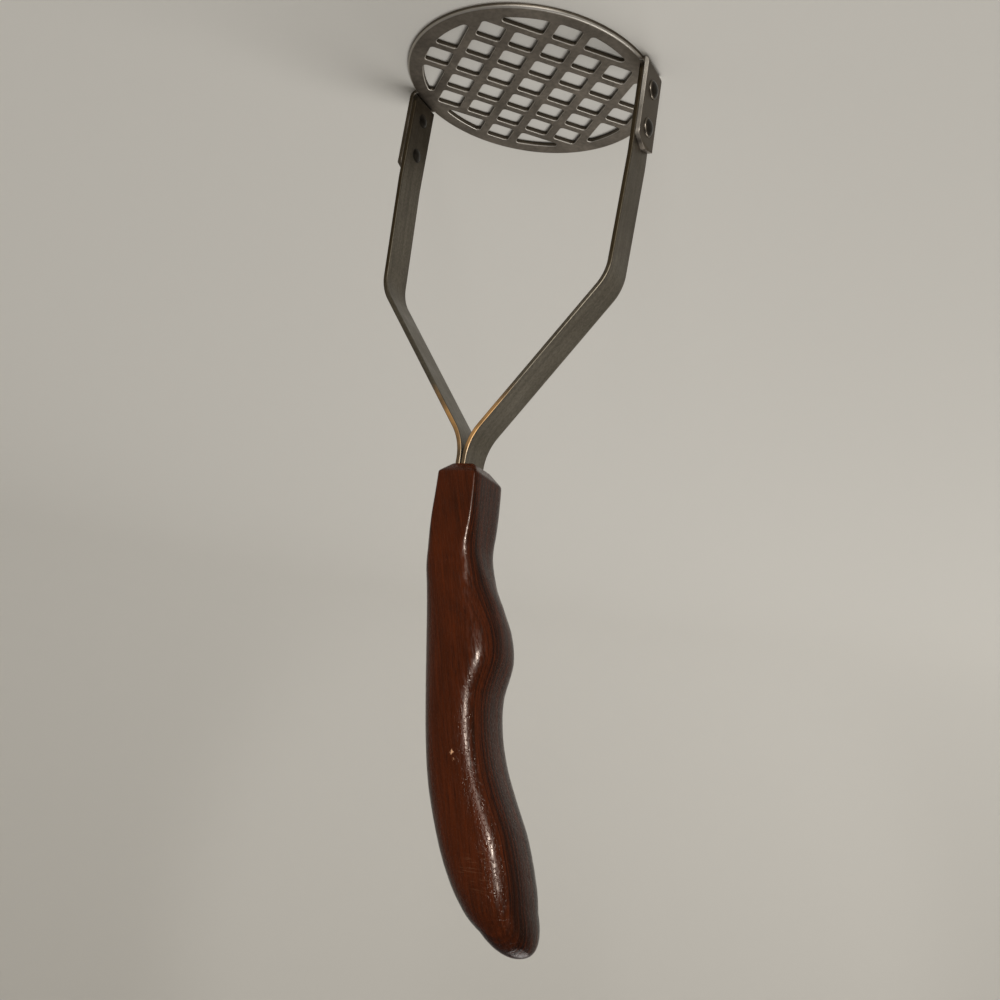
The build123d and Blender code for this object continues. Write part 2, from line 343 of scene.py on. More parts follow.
def bent_path(corners, radii, extra=()):
    """Middle line of a bent strap in the XZ plane: points, unit tangents and distances along.

    Straight runs are joined by arcs tangent to both. Where the line turns by an angle A, the arc of
    radius R starts R tan(A/2) before the corner. Rings at the extra distances are added, and a
    negative one counts from the end."""
    corners = np.array(corners, float)
    runs = np.diff(corners, axis=0)
    runs /= np.linalg.norm(runs, axis=1)[:, None]
    points, tangents = [corners[:1]], [runs[:1]]
    for corner, before, after, radius in zip(corners[1:], runs, runs[1:], radii):
        turn = np.arccos(before @ after)
        inward = after - before * (before @ after)
        inward /= np.linalg.norm(inward)
        angle = np.linspace(0, turn, int(np.degrees(turn) / 3) + 3)[:, None]
        start = corner - before * radius * np.tan(turn / 2)
        points.append(start + radius * (np.sin(angle) * before + (1 - np.cos(angle)) * inward))
        tangents.append(np.cos(angle) * before + np.sin(angle) * inward)
    points = np.concatenate([*points, corners[-1:]])
    along = distances(points)
    stations = np.unique(np.concatenate([along, [d if d >= 0 else along[-1] + d for d in extra]]))
    tangents = read_line(stations, along, np.concatenate([*tangents, runs[-1:]]))
    tangents /= np.linalg.norm(tangents, axis=1)[:, None]
    return read_line(stations, along, points), tangents, stations


def strap_outline(width, thickness, edge_round):
    """Rounded rectangle: offsets along Y and along the strap's normal, and the distance around.

    Four quarter arcs of the edge radius, each with a point just beside it on both flats, so that
    the flats shade flat."""
    turn = np.linspace(0, np.pi / 2, 6)
    beside = 0.15 * edge_round
    arc = np.stack([edge_round * np.cos(turn), edge_round * np.sin(turn)], axis=-1)
    arc = np.concatenate([[(edge_round, -beside)], arc, [(-beside, edge_round)]])
    corner = arc + (width / 2 - edge_round, thickness / 2 - edge_round)
    outline = np.concatenate([corner, corner[::-1] * (-1, 1), -corner, corner[::-1] * (1, -1)])
    return outline, distances(outline, closed=True)


def carry_strap(skin, path, outline, around, widths=1.0, thicknesses=1.0):
    """Carries the outline along the path: a point is the path's point, plus its offset along Y, plus
    its offset along the path's normal. widths and thicknesses scale the two offsets at each ring."""
    points, tangents, along = path
    normals = np.stack([tangents[:, 1], -tangents[:, 0]], axis=-1)
    widths = np.broadcast_to(widths, len(points))[:, None]
    thicknesses = np.broadcast_to(thicknesses, len(points))[:, None]
    flat = points[:, None] + (outline[:, 1] * thicknesses)[..., None] * normals[:, None]
    grid = np.stack([flat[..., 0], outline[:, 0] * widths, flat[..., 1]], axis=-1)
    rings = skin.add_grid(grid, along, around)
    skin.add_cap(rings[0])
    skin.add_cap(rings[-1])


def arc_loop(arcs):
    """Closed loop of arcs joined by straight runs: centres, directions and radii of its points.

    Each arc is a centre, a radius and its angles. A loop grown by a distance is
    centre + (radius + distance) x direction."""
    centres = np.concatenate([np.tile(centre, (len(angles), 1)) for centre, _, angles in arcs])
    radii = np.concatenate([np.full(len(angles), radius) for _, radius, angles in arcs])
    angles = np.concatenate([angles for _, _, angles in arcs])
    return centres, np.stack([np.cos(angles), np.sin(angles)], axis=-1), radii


def hole_loops(sizes):
    """Loops of all the holes, in the plate's own grid: whole squares, and the eight beside the rim.

    A square is four corner arcs. A rim hole keeps its two inner grid sides and is closed by an arc of
    the pierced circle; its corner centres lie one corner radius inside both lines that they join."""
    pitch, corner = sizes.hole_side + sizes.bar_width, sizes.hole_corner
    reach = sizes.hole_side / 2 - corner
    quarter = np.pi / 2
    signs = ((1, 1), (-1, 1), (-1, -1), (1, -1))
    square = arc_loop([
        ((reach * sx, reach * sy), corner, np.linspace(quarter * i, quarter * (i + 1), 7))
        for i, (sx, sy) in enumerate(signs)
    ])
    count = int(sizes.pierced_radius / pitch)
    i, j = np.meshgrid(np.arange(-count, count + 1), np.arange(-count, count + 1))
    farthest = np.hypot(np.abs(i) * pitch + reach, np.abs(j) * pitch + reach) + corner
    whole = farthest <= sizes.pierced_radius
    middles = np.stack([i[whole], j[whole]], axis=-1) * pitch
    loops = [(square[0] + middle, *square[1:]) for middle in middles]

    # The rim hole at column 3 and row 1 of the grid; the seven others are its mirror images.
    x, y = 3 * pitch - reach, pitch - reach
    inner = sizes.pierced_radius - corner
    low, high = np.arcsin(y / inner), np.arccos(x / inner)
    beside_rim = arc_loop([
        ((x, y), corner, np.linspace(2 * quarter, 3 * quarter, 7)),
        ((inner * np.cos(low), y), corner, np.linspace(3 * quarter, 4 * quarter + low, 8)),
        ((0, 0), sizes.pierced_radius, np.linspace(low, high, 12)[1:-1]),
        ((x, inner * np.sin(high)), corner, np.linspace(high, 2 * quarter, 6)),
    ])
    for sx, sy in signs:
        for turn in (np.diag((sx, sy)), np.array([(0, sx), (sy, 0)])):
            loops.append((beside_rim[0] @ turn, beside_rim[1] @ turn, beside_rim[2]))
    return loops


def sheet_edge(sizes, upper_round):
    """Profile of a cut edge of the sheet, from its upper side down: distances back, and levels.

    A quarter round above, a straight wall and a small quarter round below."""
    turn = np.linspace(0, np.pi / 2, 7)
    back = [upper_round * (1 - np.sin(turn)), sizes.burr * (1 - np.cos(turn[::3]))]
    level = [sizes.thickness - upper_round * (1 - np.cos(turn)), sizes.burr * (1 - np.sin(turn[::3]))]
    return np.concatenate(back), np.concatenate(level)


def add_wall(skin, loops, level, length_round):
    """Adds a wall of the sheet: one flat loop at each level."""
    heights = np.broadcast_to(level[:, None, None], (*loops.shape[:2], 1))
    around = np.linspace(0, length_round, loops.shape[1] + 1)
    skin.add_grid(np.concatenate([loops, heights], axis=-1), level, around)


def plate_skin(sizes, strap):
    """Skin of the pressed plate with both ears.

    The rim and each hole are loops carried through the sheet, grown or shrunk at each level by the
    profile of its edge. The grid of holes is turned by an eighth to the ears. The ears are strap
    outlines carried round the fold, narrowing to a point."""
    skin = Skin()
    eighth_turn = np.array([(1, 1), (-1, 1)]) / np.sqrt(2)
    back, level = sheet_edge(sizes, sizes.roll)
    for centres, directions, radii in hole_loops(sizes):
        loops = (centres + (radii + back[:, None])[..., None] * directions) @ eighth_turn
        add_wall(skin, loops, level, 4 * sizes.hole_side)

    # Between the ears' edges the rim runs straight, and stays clear of the folds.
    clearance, hair = 0.1 * MM, 0.02 * MM
    edge = np.arcsin(strap.width / 2 / sizes.radius)
    ear_edges = [edge, -edge, np.pi - edge, edge - np.pi]
    angle = np.sort(np.concatenate([np.linspace(-np.pi, np.pi, 360, endpoint=False), ear_edges]))
    back, level = sheet_edge(sizes, sizes.rim_round)
    rim = (sizes.radius - back)[:, None, None] * np.stack([np.cos(angle), np.sin(angle)], axis=-1)
    between = np.abs(rim[..., 1]) < strap.width / 2 - hair
    limit = sizes.ear_x - sizes.ear_bend - clearance - back[:, None]
    rim[..., 0] = np.where(between, np.clip(rim[..., 0], -limit, limit), rim[..., 0])
    add_wall(skin, rim, level, 2 * np.pi * sizes.radius)

    # The foot is a little thinner than the sheet at its end, and the point a little blunt.
    foot_thinning, blunt = 0.05, 0.02
    middle, point_height = sizes.thickness / 2, sizes.ear_top - sizes.ear_side
    foot_end = (sizes.ear_x - sizes.ear_bend - sizes.ear_foot, middle)
    path = bent_path(
        [foot_end, (sizes.ear_x, middle), (sizes.ear_x, sizes.ear_top)],
        [sizes.ear_bend],
        extra=[sizes.ear_foot / 2, -point_height, *np.linspace(10 * MM, 28 * MM, 8)],
    )
    widths = np.clip((sizes.ear_top - path[0][:, 1]) / point_height, blunt, 1)
    thicknesses = 1 - foot_thinning * np.clip(1 - path[2] / sizes.ear_foot, 0, 1)
    ear = Skin()
    carry_strap(ear, path, *strap_outline(strap.width, sizes.thickness, sizes.ear_round), widths, thicknesses)
    skin.add_skin(ear)
    skin.add_skin(ear.mirrored())
    return skin


def leg_skin(strap):
    """Skin of the right leg: the strap's outline carried from the foot over the shoulder and the neck
    up into the grip, with a ring at least every 4 mm."""
    path = bent_path(
        [
            (strap.foot_x, leg_box[0][2]),
            (strap.foot_x, strap.lean_height),
            (strap.shoulder_x, strap.shoulder_height),
            (strap.tang_x, strap.neck_height),
            (strap.tang_x, leg_box[1][2]),
        ],
        [strap.lean_radius, strap.shoulder_radius, strap.neck_radius],
        extra=np.arange(2, 176, 4) * MM,
    )
    skin = Skin()
    carry_strap(skin, path, *strap_outline(strap.width, strap.thickness, strap.edge_round))
    return skin


def dome(radius, rise, count):
    """Spherical cap from beside its top to its edge: drops below the top, and radii."""
    sphere = (radius**2 + rise**2) / (2 * rise)
    angle = np.linspace(0.12, 1, count) * np.arcsin(radius / sphere)
    return sphere * (1 - np.cos(angle)), sphere * np.sin(angle)


def rivet_skin(rivet, plate, strap, height):
    """Skin of a right rivet: a profile turned round its own axis, which lies along X.

    From the head's top: a spherical cap, a short rim, the shank, and a flatter cap inside the leg."""
    grip = plate.thickness + strap.thickness
    hair = 0.01 * MM
    head_drop, head_radii = dome(rivet.head_radius, rivet.head_height - rivet.rim, 9)
    tail_drop, tail_radii = dome(rivet.tail_radius, rivet.tail_height, 8)
    out, radius = np.array([
        *zip(rivet.head_height - head_drop, head_radii),
        (0.6 * rivet.rim_round, rivet.head_radius),
        (0, rivet.head_radius - rivet.rim_round),
        (-hair, rivet.shank_radius),
        (hair - grip, rivet.shank_radius),
        (-grip, rivet.tail_radius - rivet.rim_round),
        (-grip - 0.4 * rivet.rim_round, rivet.tail_radius),
        *zip(tail_drop[::-1] - grip - rivet.tail_height, tail_radii[::-1]),
    ]).T[..., None]
    columns = 48
    angle = np.linspace(0, 2 * np.pi, columns, endpoint=False)
    seat = plate.ear_x + plate.thickness / 2
    grid = [seat + out + 0 * angle, radius * np.cos(angle), height + radius * np.sin(angle)]
    along = np.linspace(0, 8 * MM, len(out))
    around = np.linspace(0, 2 * np.pi * rivet.head_radius, columns + 1)
    skin = Skin()
    rings = skin.add_grid(np.stack(grid, axis=-1), along, around)
    skin.add_pole(rings[0], (seat + rivet.head_height, 0, height), along[0], around)
    skin.add_pole(rings[-1], (seat - grip - rivet.tail_height, 0, height), along[-1], around)
    return skin


def soft_limit(value, limit, softness):
    """Value kept under a limit, with the corner between them rounded.

    limit - s log(1 + e^((limit - value) / s)), where s is the softness."""
    return limit - softness * np.logaddexp(0, (limit - value) / softness)


def grip_rows(places):
    """Rows of the grip's table at any places, on cubic curves through the rows beside them.

    Each curve's slope at a row is that of the line from the row before to the row after."""
    rows = GRIP_SECTIONS
    padded = np.pad(rows, ((1, 1), (0, 0)), mode="edge")
    slopes = (padded[2:] - padded[:-2]) / (padded[2:, :1] - padded[:-2, :1])
    after = np.clip(np.searchsorted(rows[:, 0], places, side="right"), 1, len(rows) - 1)
    start, end = rows[after - 1], rows[after]
    run = end[:, :1] - start[:, :1]
    t = np.minimum((places[:, None] - start[:, :1]) / run, 1)
    value = start * (1 + 2 * t) * (1 - t) ** 2 + end * (3 - 2 * t) * t**2
    value += run * t * (1 - t) * (slopes[after - 1] * (1 - t) - slopes[after] * t)
    return value[:, 1:].T[..., None]


def middle_line(grip, places):
    """Points, unit tangents and distances of the grip's middle line, at shares of its length.

    A cubic curve from the front end, which it leaves straight up, to the tip, which it meets at the
    tip's lean, re-read by the distance along it."""
    front = np.array([grip.front_offset, handle_box[0][2]])
    tip = front + (grip.reach, grip.rise)
    first = front + (0, grip.front_pull)
    second = tip - grip.tip_pull * np.array([np.sin(grip.tip_lean), np.cos(grip.tip_lean)])
    t = np.linspace(0, 1, 2001)[:, None]
    line = front * (1 - t) ** 3 + 3 * first * t * (1 - t) ** 2 + 3 * second * t**2 * (1 - t) + tip * t**3
    slope = (first - front) * (1 - t) ** 2 + 2 * (second - first) * t * (1 - t) + (tip - second) * t**2
    slope /= np.linalg.norm(slope, axis=1)[:, None]
    along = distances(line)
    at = places * along[-1]
    return read_line(at, along, line), read_line(at, along, slope), at


def column_angles(places, half, limit, powers):
    """Angles of the grip's columns on each ring, from the finger side round to it again.

    A ridge beside a thumb flat is where the oval's half breadth meets the flat. On each side, one
    column follows the ridge of the finger side and one that of the palm side, as far as the flats
    reach, and the others are spread between them."""
    fade = np.clip((places[:, None] - RIDGE_FADE_START) / RIDGE_FADE_LENGTH, 0, 1)
    steepest, resting, least = np.radians(80), np.radians(60), 1e-4
    ridges = []
    for power in powers:
        over = np.clip((half / limit) ** power - 1, least, None)
        ridge = np.minimum(np.arctan2(1, over ** (1 / power)), steepest)
        ridges.append(ridge * (1 - fade) + resting * fade)
    stops = np.concatenate([0 * fade, ridges[0], np.pi - ridges[1], np.pi + 0 * fade], axis=1)
    knots = np.array([0, RIDGE_SHARE, 1 - RIDGE_SHARE, 1])
    share = np.unique(np.round(np.concatenate([
        np.linspace(knots[0], knots[1] + BESIDE_RIDGE[0], 11),
        knots[1] + BESIDE_RIDGE,
        np.linspace(knots[1] + BESIDE_RIDGE[-1], knots[2] + BESIDE_RIDGE[0], 9),
        knots[2] + BESIDE_RIDGE,
        np.linspace(knots[2] + BESIDE_RIDGE[-1], knots[3], 11),
    ]), 6))
    angle = stops @ np.stack([np.interp(share, knots, stop) for stop in np.eye(4)])
    return np.concatenate([angle, -angle[:, -2:0:-1]], axis=1)


def bevel_share(grip, x, side, rise):
    """Share that the bevel leaves of the points' distances from the front's middle, and that middle.

    The front face is a rectangle smaller by the bevel on all sides, which widens by as much as it
    rises. Its corners are rounded by a power of ten, and its edge softly."""
    palm_x = grip.front_offset - GRIP_SECTIONS[0, 1] * grip.depth + grip.bevel
    finger_x = grip.front_offset + GRIP_SECTIONS[0, 2] * grip.depth - grip.bevel
    middle, half_x = (palm_x + finger_x) / 2, (finger_x - palm_x) / 2
    half_y = grip.flat_breadth / 2 - grip.bevel
    used = np.linalg.norm([(x - middle) / (half_x + rise), side / (half_y + rise)], ord=10, axis=0)
    softness = 0.025
    share = np.minimum(soft_limit(1.0, 1 / used, softness), 1.0)
    return np.where(rise < 2 * grip.bevel, share, 1.0), middle


def grip_skin(grip, strap):
    """Skin of the wooden grip.

    Each ring is a rounded oval square to the middle line: at the angle A its point lies at
    (cos A, sin A) / (|cos A|^n + |sin A|^n)^(1/n) times its half depth and half breadth, and n, the
    squareness, has its own value on the finger side and on the palm side. Toward the tip the rings
    shrink as a circle does. The flats and the bevelled front end limit the rings softly, and the
    slot for the tangs is a wall inside the front face."""
    places = np.concatenate([
        np.linspace(0, FRONT_END, 36)[:-1],
        np.linspace(FRONT_END, TIP_START, 190)[:-1],
        TIP_START + (1 - TIP_START) * np.sin(np.linspace(0, np.pi / 2, 42)[:-1]),
    ])
    palm, finger, half, finger_power, palm_power = grip_rows(places)
    tip_run = np.clip((places - TIP_START) / (1 - TIP_START), 0, 1)[:, None]
    fullness = np.sqrt(1 - tip_run**2)
    palm, finger = palm * grip.depth * fullness, finger * grip.depth * fullness
    half = half * grip.breadth * fullness

    limit = grip.flat_breadth / 2
    angle = column_angles(places, half, limit, (finger_power, palm_power))
    power = np.where(np.cos(angle) > 0, finger_power, palm_power)
    reach = (np.abs(np.cos(angle)) ** power + np.abs(np.sin(angle)) ** power) ** (-1 / power)
    depth = (finger - palm) / 2 + (finger + palm) / 2 * reach * np.cos(angle)
    side = half * reach * np.sin(angle)

    points, tangents, along = middle_line(grip, places)
    x = points[:, :1] + depth * tangents[:, 1:]
    z = points[:, 1:] - depth * tangents[:, :1]
    rise = np.clip(z - handle_box[0][2], 0, None)
    past_flat = np.clip(rise - grip.flat_length, 0, None)
    side = np.sign(side) * soft_limit(np.abs(side), limit + past_flat, grip.ridge_round)
    share, middle = bevel_share(grip, x, side, rise)
    grid = np.stack([middle + (x - middle) * share, side * share, z], axis=-1)

    widest = 100
    around = distances(grid[widest], closed=True)
    skin = Skin()
    rings = skin.add_grid(grid, along, around)
    tip, _, _ = middle_line(grip, np.array([1.0]))
    skin.add_pole(rings[-1], (tip[0, 0], 0, tip[0, 1]), along[-1], around)

    # The slot lies just inside the tangs' outer faces, so that the wood meets the steel.
    slot = (2 * strap.tang_x - 0.15 * MM, strap.width / 2 - 0.1 * MM)
    mouth = grid[0].copy()
    mouth[:, :2] /= np.max(np.abs(mouth[:, :2]) / slot, axis=1, keepdims=True)
    inside = np.stack([mouth, mouth + (0, 0, grip.slot_depth)])
    wall = skin.add_grid(inside, (0, grip.bevel, grip.slot_depth), around, start=rings[0], smooth=False)
    skin.add_cap(wall[-1])
    return skin


def add_node(tree, kind, inputs=(), **settings):
    """Adds a shader node with its settings, and gives the node.

    The inputs are named in a dict, or listed in the order of the node's open sockets. A socket, or
    the first open output of a node, is linked; any other value is set."""
    node = tree.nodes.new("ShaderNode" + kind)
    for name, value in settings.items():
        setattr(node, name, value)
    if isinstance(inputs, dict):
        pairs = [(node.inputs[name], value) for name, value in inputs.items()]
    else:
        pairs = zip([socket for socket in node.inputs if socket.enabled], inputs)
    for socket, value in pairs:
        if isinstance(value, bpy.types.Node):
            value = next(output for output in value.outputs if output.enabled)
        if isinstance(value, bpy.types.NodeSocket):
            tree.links.new(value, socket)
        else:
            socket.default_value = value
    return node


def make_material(draw, settings):
    """Material with the name of the function that draws it, which gives its shader's inputs."""
    name = draw.__name__
    material = bpy.data.materials.get(name) or bpy.data.materials.new(name)
    material.use_nodes = True
    material.node_tree.nodes.clear()
    add = partial(add_node, material.node_tree)
    add("OutputMaterial", [add("BsdfPrincipled", draw(add, settings))])
    return material


def grain_scale(*sizes):
    """Scale of a pattern whose grains have these sizes in millimetres, one for each axis."""
    return [1 / (size * MM) for size in sizes]


def mottled(add, base, *tones):
    """Base colour made darker and lighter by the product of some tones."""
    tone = strongest(add, tones)
    return add("Mix", [1.0, (*base, 1), tone], data_type="RGBA", blend_type="MULTIPLY")


def strongest(add, *zones):
    """Strength of the strongest of some zones, each the product of its shares."""
    products = []
    for zone in zones:
        products.append(reduce(lambda a, b: add("Math", [a, b], operation="MULTIPLY"), zone))
    return reduce(lambda a, b: add("Math", [a, b], operation="MAXIMUM"), products)


def coated(add, under, *coats):
    """Colour with coats laid over it one after the other, each by its share."""
    for share, coat in coats:
        under = add("Mix", [share, under, (*coat, 1)], data_type="RGBA")
    return under


def rolled_stainless_sheet(add, finishes):
    """Stainless sheet, cold rolled, pierced and pressed, long used: a dull, slightly uneven mirror
    with soft stains, fine scratches in all directions and dried brown stains in the folds, deepened
    there by painted shade. Painted shade also darkens the ears' outer faces, and painted dark
    reflection the cut walls and the left ear's edges. A painted highlight draws a thin bright line
    round the rim, the holes and the right ear."""
    place = add("TexCoord").outputs["Object"]
    x, _, height = add("SeparateXYZ", [place]).outputs
    normal_x, normal_y, normal_z = add("SeparateXYZ", [add("NewGeometry").outputs["Normal"]]).outputs
    from_middle, across, level = (
        add("Math", [value], operation="ABSOLUTE") for value in (x, normal_y, normal_z)
    )
    stains, wear, uneven = (
        add("TexNoise", {"Vector": place, "Scale": 1 / (size * MM), "Detail": detail})
        for size, detail in ((11, 4.0), (1.4, 3.0), (6, 1.0))
    )
    lines = add("Math", [
        add("TexNoise", {"Vector": add("Mapping", {
            "Vector": place, "Rotation": (0, 0, turn), "Scale": grain_scale(0.1, run, 4)
        }), "Scale": 1.0, "Detail": 1.0})
        for run, turn in ((9, 0.6), (7, -0.9))
    ], operation="MULTIPLY")

    tone = add("MapRange", [stains, 0.3, 0.7, 0.74, 1.04])
    spots = add("MapRange", [wear, 0.35, 0.65, 0.86, 1.1])
    steel = mottled(add, finishes.plate_steel, tone, spots)
    # Dried stains with painted shade lie low beside the folds; painted dark reflection darkens the
    # cut walls of the disc and painted shade, darker, the ears' outer faces.
    disc = add("MapRange", [from_middle, 41.4 * MM, 41.3 * MM])
    on_ear = add("MapRange", [from_middle, 41.6 * MM, 42.0 * MM])
    beside_fold = add("MapRange", [from_middle, 36 * MM, 41 * MM])
    low = add("MapRange", [height, 11 * MM, 3 * MM])
    outward = add("Math", [x, normal_x], operation="MULTIPLY")
    outer = add("MapRange", [outward, 30 * MM, 40 * MM, 0.0, 0.5])
    cut_wall = add("MapRange", [level, 0.75, 0.35, 0.0, 0.4])
    stained_and_shaded = strongest(add, (beside_fold, low, stains), (outer, on_ear), (cut_wall, disc))
    # The left ear's edges get a painted dark reflection. The right ear's get a painted highlight,
    # most near the fold, and so do the rounded upper edges of the rim and the holes.
    edge = add("MapRange", [across, 0.55, 0.9])
    left = add("MapRange", [x, -20 * MM, 20 * MM, 0.7, 0.0])
    right = add("MapRange", [x, -20 * MM, 20 * MM])
    near_fold = add("MapRange", [height, 4 * MM, 18 * MM, 0.95, 0.25])
    rounded = add("MapRange", [level, 0.98, 0.88])
    not_wall = add("MapRange", [level, 0.3, 0.5, 0.0, 0.5])
    painted_dark_edge = strongest(add, (edge, on_ear, left))
    bright = strongest(add, (edge, on_ear, near_fold, right), (rounded, not_wall, disc))
    steel = coated(
        add, steel, (stained_and_shaded, finishes.stain_and_shade), (painted_dark_edge, finishes.stain_and_shade), (bright, finishes.painted_highlight_colour)
    )

    rough = add("MapRange", [stains, 0.3, 0.7, 0.34, 0.46])
    rough = add("Math", [wear, 0.14, rough], operation="MULTIPLY_ADD")
    relief = add("Math", [uneven, 3.0, lines], operation="MULTIPLY_ADD")
    bump = add("Bump", {"Strength": 0.35, "Distance": 0.04 * MM, "Height": relief})
    return {"Base Color": steel, "Roughness": rough, "Normal": bump, "Metallic": 1.0}


def brushed_stainless_strap(add, finishes):
    """Stainless strap, brushed lengthwise and bent, long handled: soft streaks along its length, a
    fine grain of brush lines and small pits. Dried stains with painted shade darken the foot, painted
    shade the outer faces below the shoulder and a painted dark reflection the edges, and a painted
    warm reflection tints the edges straw yellow just below the grip."""
    place = add("TexCoord").outputs["Object"]
    uv = add("UVMap", uv_map="UVMap")
    x, _, height = add("SeparateXYZ", [place]).outputs
    normal_x, normal_y, _ = add("SeparateXYZ", [add("NewGeometry").outputs["Normal"]]).outputs
    brush, streaks = (
        add("TexNoise", {
            "Vector": add("Mapping", {"Vector": uv, "Scale": grain_scale(*sizes, 1000)}),
            "Scale": 1.0, "Detail": detail,
        }, noise_dimensions="2D")
        for sizes, detail in (((12, finishes.brush_spacing / MM), 2.0), ((45, 1.6), 3.0))
    )
    stains, mottle = (
        add("TexNoise", {"Vector": place, "Scale": 1 / (size * MM), "Detail": detail})
        for size, detail in ((9, 4.0), (0.8, 3.0))
    )
    pits = add("TexVoronoi", {"Vector": place, "Scale": 1 / (2.2 * MM)})
    pit = add("MapRange", [pits, 0.06, 0.16, 1.0, 0.0])

    tone = add("MapRange", [streaks, 0.3, 0.7, 0.78, 1.08])
    spots = add("MapRange", [mottle, 0.35, 0.65, 0.82, 1.12])
    steel = mottled(add, finishes.strap_steel, tone, spots)
    # Dried stains with painted shade darken the foot; painted shade darkens the outer faces below
    # the shoulder, and a painted dark reflection the edges, most below it.
    edge = add("MapRange", [add("Math", [normal_y], operation="ABSOLUTE"), 0.75, 0.95])
    foot = add("MapRange", [height, 34 * MM, 12 * MM, 0.0, 1.5])
    outward = add("Math", [x, normal_x], operation="MULTIPLY")
    outer = add("MapRange", [outward, 20 * MM, 35 * MM, 0.0, 0.45])
    below = add("MapRange", [height, 72 * MM, 55 * MM])
    painted_dark_edge_share = add("MapRange", [height, 66 * MM, 80 * MM, 0.92, 0.4])
    stained_and_shaded = strongest(add, (foot, stains), (outer, below), (edge, painted_dark_edge_share))
    # The painted warm reflection on the edges comes in below the neck, fades toward the grip, and is uneven.
    above = add("MapRange", [height, 107 * MM, 117 * MM, 0.0, 0.9])
    fading = add("MapRange", [height, 123 * MM, 130 * MM, 1.0, 0.35])
    uneven = add("MapRange", [stains, 0.4, 0.6, 0.45, 1.0])
    warm = strongest(add, (edge, above, fading, uneven))
    steel = coated(add, steel, (stained_and_shaded, finishes.stain_and_shade), (warm, finishes.painted_warm_reflection))

    rough = add("MapRange", [stains, 0.3, 0.7, 0.28, 0.4])
    rough = add("Math", [brush, 0.14, rough], operation="MULTIPLY_ADD")
    relief = add("Math", [pit, -1.5, brush], operation="MULTIPLY_ADD")
    bump = add("Bump", {"Strength": 0.3, "Distance": 0.02 * MM, "Height": relief})
    return {"Base Color": steel, "Roughness": rough, "Normal": bump, "Metallic": 1.0}


def headed_steel_rivet(add, finishes):
    """Steel rivet, cold headed and set with a hammer: a dark, dimpled dome inside a brighter ring."""
    place = add("TexCoord").outputs["Object"]
    stains = add("TexNoise", {"Vector": place, "Scale": 1 / (2.5 * MM), "Detail": 4.0})
    dimples = add("TexVoronoi", {"Vector": place, "Scale": 1 / (1.1 * MM)}, feature="SMOOTH_F1")
    # The UV's first value runs along the profile, and the head's rim lies 3.1 mm from its start.
    along, _, _ = add("SeparateXYZ", [add("UVMap", uv_map="UVMap")]).outputs
    from_rim = add("Math", [along, 3.1 * MM], operation="SUBTRACT")
    from_rim = add("Math", [from_rim], operation="ABSOLUTE")
    ring = add("MapRange", [from_rim, 0.3 * MM, 0.8 * MM, 1.2, 0.2])
    tone = add("MapRange", [stains, 0.3, 0.7, 0.6, 1.1])
    return {
        "Base Color": mottled(add, finishes.plate_steel, tone, ring),
        "Roughness": add("MapRange", [stains, 0.3, 0.7, 0.26, 0.45]),
        "Normal": add("Bump", {"Strength": 0.4, "Distance": 0.06 * MM, "Height": dimples}),
        "Metallic": 1.0,
    }


